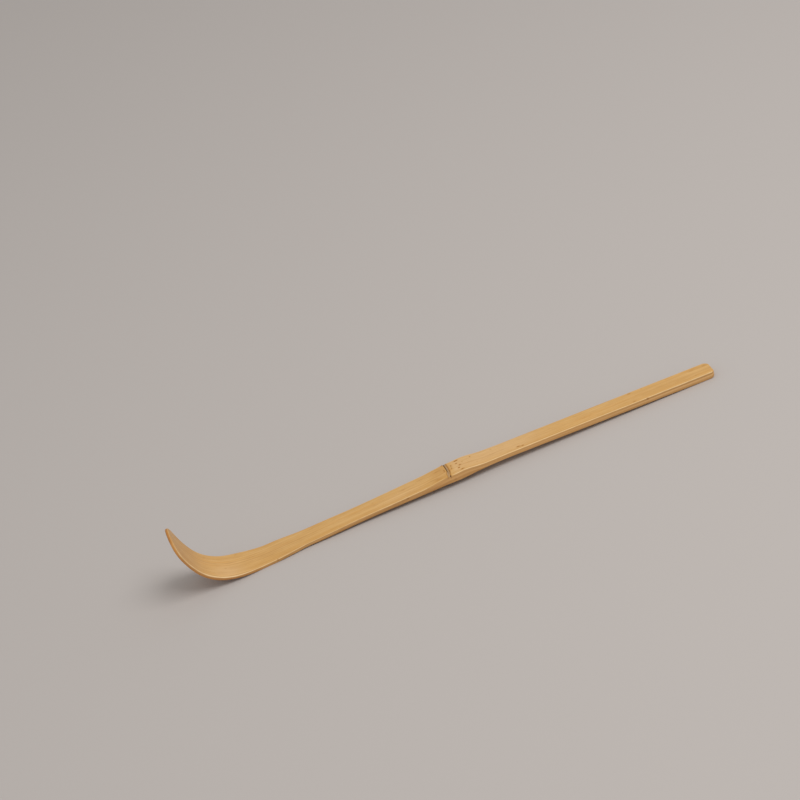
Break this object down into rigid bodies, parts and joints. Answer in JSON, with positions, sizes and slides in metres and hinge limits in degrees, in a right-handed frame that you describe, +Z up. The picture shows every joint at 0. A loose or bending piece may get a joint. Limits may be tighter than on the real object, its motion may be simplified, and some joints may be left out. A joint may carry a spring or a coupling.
{
  "type": "tea scoop",
  "caption": "Slim bamboo tea scoop with a flat handle, one stem node at mid length and a broad blade bent sharply up to a rounded tip, for spooning powdered tea.",
  "frame": {"origin": "on the table, under the middle of the scoop's overall length and width", "axes": "+X along the stick towards the cut end of the handle, with the blade at -X; +Y across the stick; +Z up, out of the skin side"},
  "size_m": [0.1664, 0.011, 0.022],
  "materials": {
    "bamboo_skin": "satin, smoked golden tan",
    "bamboo_flesh": "matt carved fibre, streaked brown",
    "sheath_scar": "matt grey-brown with dark crevices",
    "root_buds": "matt brown",
    "partition": "matt carved pith"
  },
  "bodies": {
    "root": {"lower_internode_skin": "bamboo_skin", "lower_internode_flesh": "bamboo_flesh", "sheath_scar": "sheath_scar", "node_skin": "bamboo_skin", "root_buds": "root_buds", "node_flesh": "bamboo_flesh", "diaphragm_stub": "partition", "handle_skin": "bamboo_skin", "handle_flesh": "bamboo_flesh"}
  },
  "joints": []
}
